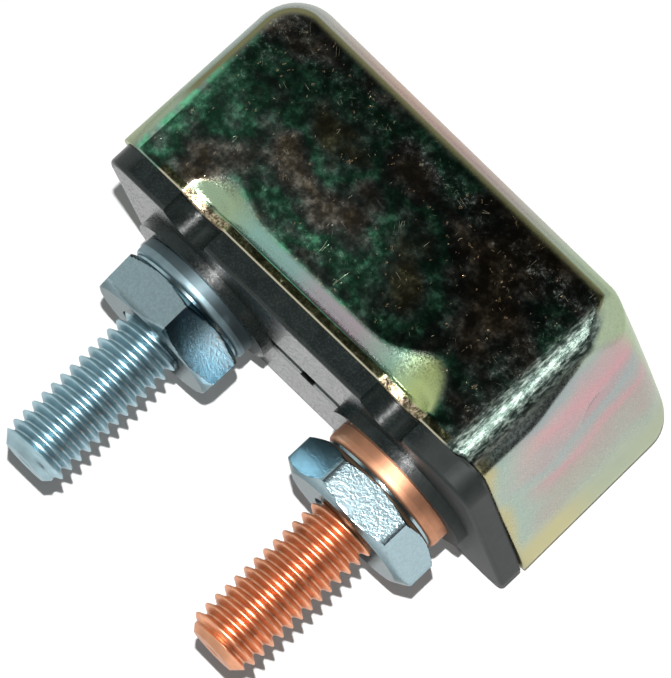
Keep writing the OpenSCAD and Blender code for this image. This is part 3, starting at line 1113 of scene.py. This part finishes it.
def phenolic(name, base):
    """Filled black phenolic, slightly glossy, with painted light on the groove's wall where it lies in
    shade, and a painted dark spot for the vent hole.
    """
    made = material(name)
    tree = made.node_tree
    where = millimetres(tree)
    x, y, z = axes_of(tree, where)
    groove_wall = product(tree, between(tree, apart(tree, z, 7.9), 0.2, 0.1), between(tree, y, 0.37, 0.3))
    groove_wall = product(tree, groove_wall, between(tree, math_of(tree, "ABSOLUTE", x), 3.6, 2.6))
    # Painted light: the groove's wall is lightened where it lies in shade, palest deepest in.
    groove_fill_light = mixed(tree, between(tree, y, 0.05, 0.12), (0.24, 0.25, 0.25), (0.85, 0.88, 0.86))
    # Painted shade: a near-black spot on the groove's wall for the vent hole.
    vent_shade = between(tree, apart(tree, x, -0.25), 0.65, 0.5)
    groove_fill_light = mixed(tree, vent_shade, groove_fill_light, (0.004, 0.004, 0.004))
    tint = mixed(tree, groove_wall, tinted(tree, base, where, 1.2, 0.3), groove_fill_light)
    soft = bump(tree, noise(tree, where, 0.9), 0.02)
    grit = noise(tree, where, 6, detail=4, roughness=0.65)
    grain = bump(tree, grit, 0.008, normal=soft)
    rough = ramp(tree, grit, [(0.35, 0.2), (0.55, 0.28), (0.7, 0.5)])
    rough = mixed(tree, between(tree, x, 10.5, 13), rough, (0.6, 0.6, 0.6))
    surface(tree, Base_Color=tint, Roughness=rough, Normal=grain, IOR=1.43)
    return made


def paper(name, base):
    """Tan insulating paper with a faint tooth."""
    made = material(name)
    tree = made.node_tree
    where = millimetres(tree)
    tint = tinted(tree, base, where, 3, 0.15)
    grain = bump(tree, noise(tree, where, 8), 0.02)
    surface(tree, Base_Color=tint, Roughness=0.85, Normal=grain)
    return made


def dress(node_name, finish):
    """Gives a carried-over CAD node its finish."""
    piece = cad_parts[node_name]
    piece.data.materials.clear()
    piece.data.materials.append(finish)


# Operators


class BREAKER_OT_cover(bpy.types.Operator):
    """Make the drawn cover"""
    bl_idname = "breaker.cover"
    bl_label = "Cover"

    def execute(self, context):
        make_cover(chromate("yellow_chromate"))
        return {"FINISHED"}


class BREAKER_OT_studs(bpy.types.Operator):
    """Make the two threaded studs with their flanges"""
    bl_idname = "breaker.studs"
    bl_label = "Studs"

    def execute(self, context):
        finish = settings().finish
        lean = settings().studs.lean
        zinc = thread_plating("bright_zinc", finish.zinc, 0.38, LINE_SIDE, lean, 0.5, 0.4)
        make_stud("threaded_line_stud", "line_stud", zinc, LINE_SIDE, LINE_CREST_Y, lean)
        copper = thread_plating("copper_plate", finish.copper, 0.40, LOAD_SIDE, 0, 0.72, 0.85)
        make_stud("threaded_load_stud", "load_stud", copper, LOAD_SIDE, LOAD_CREST_Y, 0)
        return {"FINISHED"}


class BREAKER_OT_nuts(bpy.types.Operator):
    """Make the two hexagon nuts"""
    bl_idname = "breaker.nuts"
    bl_label = "Nuts"

    def execute(self, context):
        sizes = settings().nuts
        tint = settings().finish.nut_zinc
        lean = settings().studs.lean
        corner = FULL_TURN / 12 - sizes.line_turn
        zinc = nut_plating("nut_plating", tint, 0.2, 5, 0.016, LINE_SIDE, corner, True)
        make_nut(
            "line_hex_nut", "line_nut", zinc, LINE_SIDE, sizes.line_turn, sizes.line_taper, lean
        )
        frosted = nut_plating("frosted_nut_plating", tint, 0.155, 5, 0.012, LOAD_SIDE, 0, False)
        make_nut(
            "load_hex_nut", "load_nut", frosted, LOAD_SIDE, sizes.load_turn, sizes.load_taper, 0
        )
        return {"FINISHED"}


class BREAKER_OT_base(bpy.types.Operator):
    """Give the moulded base its finish"""
    bl_idname = "breaker.base"
    bl_label = "Base"

    def execute(self, context):
        dress("base", phenolic("black_phenolic", settings().finish.moulding))
        return {"FINISHED"}


class BREAKER_OT_works(bpy.types.Operator):
    """Give the blade works and the paper their finishes"""
    bl_idname = "breaker.works"
    bl_label = "Blade works"

    def execute(self, context):
        finish = settings().finish
        brass = plating("strap_brass", finish.strap, 0.3, 0.01, 0.005)
        silver = plating("contact_silver", finish.silver, 0.2, 0.01, 0.003)
        dress("line_strap", brass)
        dress("load_bracket", brass)
        dress("fixed_contact", silver)
        dress("moving_contact", silver)
        dress("bimetal_blade", plating("blade_bimetal", finish.bimetal, 0.35, 0.01, 0.006))
        dress("blade_rivet", plating("rivet_plate", finish.rivet, 0.3, 0.01, 0.005))
        dress("liner", paper("insulating_paper", finish.paper))
        return {"FINISHED"}


class BREAKER_OT_stage(bpy.types.Operator):
    """Make the floor, lamp, sky and camera"""
    bl_idname = "breaker.stage"
    bl_label = "Stage"

    def execute(self, context):
        make_camera()
        make_lamp()
        make_floor()
        make_sky()
        context.scene.view_settings.view_transform = "Standard"
        return {"FINISHED"}


# Stage


def make_camera():
    """The camera that took the picture."""
    stage = settings().stage
    lens = bpy.data.cameras.new("camera")
    lens.sensor_fit = "HORIZONTAL"
    lens.sensor_width = 36
    lens.lens = stage.lens
    lens.clip_start = 0.01
    lens.clip_end = 10
    camera = bpy.data.objects.new("camera", lens)
    camera.location = SEAT + Vector(stage.eye)
    camera.rotation_euler = stage.aim
    bpy.context.scene.collection.objects.link(camera)
    bpy.context.scene.camera = camera


def make_lamp():
    """A small lamp just above the camera, as seen in the picture."""
    stage = settings().stage
    turn = Euler(stage.aim).to_matrix()
    up = turn @ Vector((0, 1, 0))
    back = turn @ Vector((0, 0, 1))
    distance = Vector(stage.eye).length
    toward = (back + up * math.tan(stage.lamp_rise)).normalized()
    lamp = bpy.data.lights.new("lamp", "AREA")
    lamp.shape = "DISK"
    lamp.size = 2 * stage.lamp_radius
    lamp.energy = stage.lamp_power
    placed = bpy.data.objects.new("lamp", lamp)
    placed.location = SEAT + toward * distance
    placed.rotation_mode = "QUATERNION"
    placed.rotation_quaternion = toward.to_track_quat("Z", "Y")
    bpy.context.scene.collection.objects.link(placed)


def seen_ray(tree):
    """A value of one for camera, glossy and transmission rays, and nought for the rest."""
    path = node(tree, "ShaderNodeLightPath").outputs
    first = math_of(tree, "MAXIMUM", path["Is Camera Ray"], path["Is Glossy Ray"])
    return math_of(tree, "MAXIMUM", first, path["Is Transmission Ray"])


def make_floor():
    """A pale floor that keeps the object's shadow."""
    stage = settings().stage
    bm = bmesh.new()
    bmesh.ops.create_grid(bm, x_segments=1, y_segments=1, size=0.5)
    mesh = bpy.data.meshes.new("floor")
    bm.to_mesh(mesh)
    bm.free()
    finish = material("floor_paper")
    tree = finish.node_tree
    matte = node(tree, "ShaderNodeBsdfDiffuse", Color=(0.86, 0.86, 0.86, 1))
    power = product(tree, seen_ray(tree), stage.floor_glow)
    glow = node(tree, "ShaderNodeEmission", Color=(1, 1, 1, 1), Strength=power)
    both = node(tree, "ShaderNodeAddShader", i0=matte.outputs[0], i1=glow.outputs[0])
    node(tree, "ShaderNodeOutputMaterial", Surface=both.outputs[0])
    mesh.materials.append(finish)
    floor = bpy.data.objects.new("floor", mesh)
    bpy.context.scene.collection.objects.link(floor)


def facing(tree, where, toward):
    """How far a direction faces another."""
    made = node(tree, "ShaderNodeVectorMath", {"operation": "DOT_PRODUCT"}, i0=where, i1=toward)
    return made.outputs["Value"]


def make_sky():
    """A white surround that is open and dark above and on the camera's side."""
    world = bpy.data.worlds.new("surround")
    world.use_nodes = True
    tree = world.node_tree
    tree.nodes.clear()
    stage = settings().stage
    path = node(tree, "ShaderNodeLightPath").outputs
    where = node(tree, "ShaderNodeTexCoord").outputs["Generated"]
    low = between(tree, facing(tree, where, (0.32, 0.51, 1.39)), 0.85, 1.15, 1, 0)
    far = between(tree, facing(tree, where, (1, 0, 0)), 0.6, 0.85, 1, 0)
    lit = math_of(tree, "MULTIPLY_ADD", product(tree, low, far), stage.surround, stage.dark)
    matte = stage.matte_light
    level = math_of(tree, "MULTIPLY_ADD", path["Is Glossy Ray"], 1 - matte, matte)
    power = product(tree, lit, level)
    dim = node(tree, "ShaderNodeBackground", Color=(0.95, 1, 0.98, 1), Strength=power)
    white = node(tree, "ShaderNodeBackground", Color=(1, 1, 1, 1), Strength=1)
    seen = math_of(tree, "MAXIMUM", path["Is Camera Ray"], path["Is Transmission Ray"])
    both = node(tree, "ShaderNodeMixShader", i0=seen, i1=dim.outputs[0], i2=white.outputs[0])
    node(tree, "ShaderNodeOutputWorld", Surface=both.outputs[0])
    bpy.context.scene.world = world


# Panel and settings


class BREAKER_PT_panel(bpy.types.Panel):
    """Lists the breaker's operators in the sidebar"""
    bl_idname = "BREAKER_PT_panel"
    bl_label = "Circuit Breaker"
    bl_space_type = "VIEW_3D"
    bl_region_type = "UI"
    bl_category = "Breaker"

    def draw(self, context):
        for made in OPERATORS:
            self.layout.operator(made.bl_idname)


class BreakerSettings(bpy.types.PropertyGroup):
    """All settings of the breaker"""
    cover: PointerProperty(type=BreakerCover)
    studs: PointerProperty(type=BreakerStuds)
    nuts: PointerProperty(type=BreakerNuts)
    finish: PointerProperty(type=BreakerFinish)
    stage: PointerProperty(type=BreakerStage)


GROUPS = (BreakerCover, BreakerStuds, BreakerNuts, BreakerFinish, BreakerStage, BreakerSettings)
OPERATORS = (BREAKER_OT_stage, BREAKER_OT_base, BREAKER_OT_cover, BREAKER_OT_studs, BREAKER_OT_nuts,
             BREAKER_OT_works)


def register():
    for made in GROUPS + OPERATORS + (BREAKER_PT_panel,):
        bpy.utils.register_class(made)
    bpy.types.Scene.breaker = PointerProperty(type=BreakerSettings)


def unregister():
    del bpy.types.Scene.breaker
    for made in reversed(GROUPS + OPERATORS + (BREAKER_PT_panel,)):
        bpy.utils.unregister_class(made)


def main():
    """Registers the classes and makes every piece."""
    register()
    bpy.ops.breaker.stage()
    bpy.ops.breaker.base()
    bpy.ops.breaker.cover()
    bpy.ops.breaker.studs()
    bpy.ops.breaker.nuts()
    bpy.ops.breaker.works()


if __name__ == "__main__":
    main()
